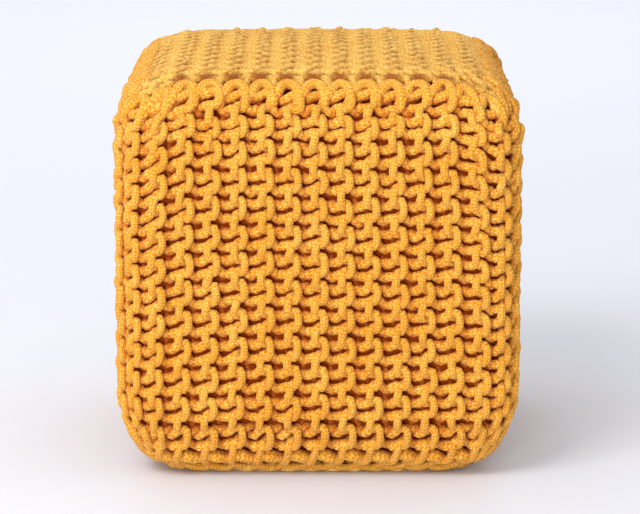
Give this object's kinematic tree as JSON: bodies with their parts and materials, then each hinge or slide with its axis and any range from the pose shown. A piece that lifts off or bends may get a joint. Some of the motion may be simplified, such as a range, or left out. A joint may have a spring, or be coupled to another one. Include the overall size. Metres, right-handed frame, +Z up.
{
  "type": "knitted pouf",
  "caption": "Filled cube pouf covered in chunky garter stitch cord knitting, with upright ribs round the sides and a ribbed crowned top.",
  "frame": {"origin": "on the floor under the middle of the pouf", "axes": "+Z up out of the crowned top, the front faces -Y, X across the front"},
  "size_m": [0.4, 0.4, 0.412],
  "materials": {
    "cord_knit": "mustard yellow thick cotton cord, matt and slightly fuzzy, garter stitch"
  },
  "bodies": {
    "root": {"side_band": "cord_knit", "top_panel": "cord_knit", "bottom_panel": "cord_knit"}
  },
  "joints": []
}
